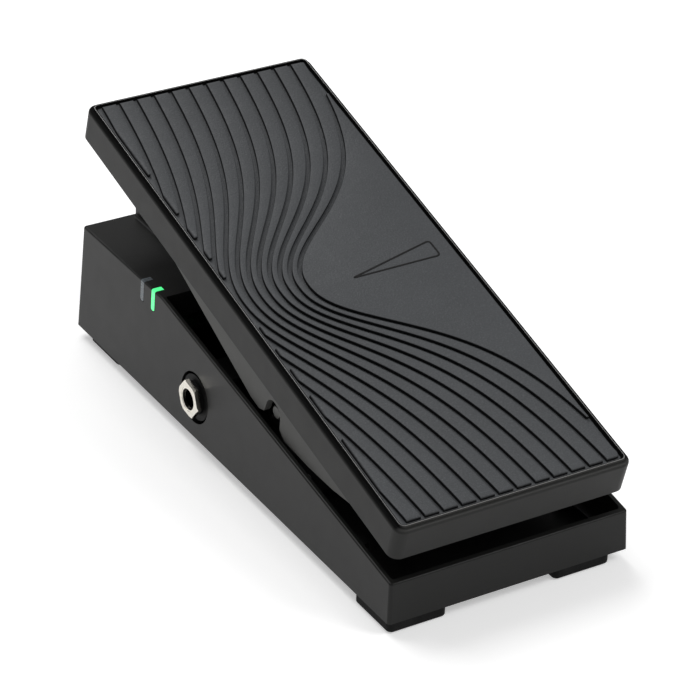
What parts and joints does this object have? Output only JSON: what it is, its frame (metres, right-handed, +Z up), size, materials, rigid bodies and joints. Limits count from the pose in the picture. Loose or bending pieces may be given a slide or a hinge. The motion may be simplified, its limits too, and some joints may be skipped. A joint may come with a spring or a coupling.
{
  "type": "expression pedal",
  "caption": "Wedge-shaped expression pedal with a rocking ribbed treadle, output jack, indicator light pipes and rubber feet.",
  "frame": {"origin": "on the floor at the middle of the base", "axes": "+Y towards the toe end, +X to the player's right, +Z up"},
  "size_m": [0.0944, 0.2171, 0.0946],
  "materials": {
    "base_metal": "fine satin powder coat, dark grey",
    "treadle_metal": "fine satin powder coat, dark grey",
    "plate_metal": "black matt paint",
    "black_bracket": "black matt paint",
    "bracket_steel": "zinc plated sheet",
    "screw_steel": "plated steel",
    "spring_steel": "bright spring steel",
    "shaft_steel": "ground steel",
    "nut_nickel": "nickel plated",
    "brass": "turned brass",
    "black_rubber": "matt",
    "foot_rubber": "matt",
    "mat_rubber": "matt, ribbed, dark bluish grey",
    "black_plastic": "moulded, fine grain",
    "grey_plastic": "moulded",
    "white_plastic": "acetal",
    "gear_plastic": "natural nylon",
    "lead_pvc": "soft insulation",
    "cell_wrap": "printed-free shrink wrap",
    "board_black": "black solder mask",
    "pipe_lit": "clear plastic light pipe, lit green",
    "pipe_clear": "clear plastic light pipe, unlit",
    "lamp_lens": "surface-mount lamp"
  },
  "bodies": {
    "base": {"base_housing": "base_metal", "battery_box": "black_plastic", "battery_cell_1": "cell_wrap", "battery_cell_2": "cell_wrap", "battery_contacts": "spring_steel", "board_chips": "black_plastic", "board_screws": "screw_steel", "bottom_plate": "plate_metal", "bracket_screws": "screw_steel", "circuit_board": "board_black", "foot_heel_left": "foot_rubber", "foot_heel_right": "foot_rubber", "foot_toe_left": "foot_rubber", "foot_toe_right": "foot_rubber", "friction_washers": "white_plastic", "heel_standoffs": "screw_steel", "heel_stop_pads": "black_rubber", "indicator_link": "lamp_lens", "indicator_power": "lamp_lens", "jack_body": "black_plastic", "jack_bushing": "nut_nickel", "jack_contacts": "spring_steel", "jack_nut": "nut_nickel", "jack_washer": "black_plastic", "light_pipe_link": "pipe_clear", "light_pipe_power": "pipe_lit", "mini_jack": "black_plastic", "mode_switch": "bracket_steel", "pivot_bracket": "black_bracket", "pivot_shaft": "shaft_steel", "plate_screws": "screw_steel", "pot_body": "bracket_steel", "pot_bracket": "bracket_steel", "pot_lead": "lead_pvc", "pot_nut": "nut_nickel", "pot_terminals": "spring_steel", "power_switch": "bracket_steel", "shaft_clips": "spring_steel", "toe_stop_pad": "black_rubber", "usb_socket": "nut_nickel"},
    "treadle": {"treadle": "treadle_metal", "treadle_mat": "mat_rubber", "pivot_bushes": "white_plastic", "sector_gear": "gear_plastic", "gear_screws": "screw_steel"},
    "pot_rotor": {"pot_shaft": "brass", "pinion_gear": "gear_plastic"},
    "battery_door": {"battery_door": "black_plastic"},
    "power_knob": {"power_switch_knob": "black_plastic"},
    "mode_button": {"mode_button": "grey_plastic"}
  },
  "joints": [
    {"name": "treadle_tilt", "type": "hinge", "parent": "base", "child": "treadle", "pos_m": [0, -0.0273, 0.038], "axis": [-1, 0, 0], "range_deg": [0, 13]},
    {"name": "pot_turn", "type": "hinge", "parent": "base", "child": "pot_rotor", "pos_m": [0, -0.00325, 0.01782], "axis": [-1, 0, 0], "range_deg": [-150, 150]},
    {"name": "battery_door_slide", "type": "slide", "parent": "base", "child": "battery_door", "axis": [0, 1, 0], "range_m": [0, 0.056]},
    {"name": "power_switch_slide", "type": "slide", "parent": "base", "child": "power_knob", "axis": [-1, 0, 0], "range_m": [0, 0.0036]},
    {"name": "mode_button_press", "type": "slide", "parent": "base", "child": "mode_button", "axis": [0, -1, 0], "range_m": [0, 0.0005], "stiffness_N_per_m": 600, "springref_m": -0.0003}
  ],
  "couplings": [
    {"joint": "pot_turn", "follows": "treadle_tilt", "ratio": -4}
  ]
}
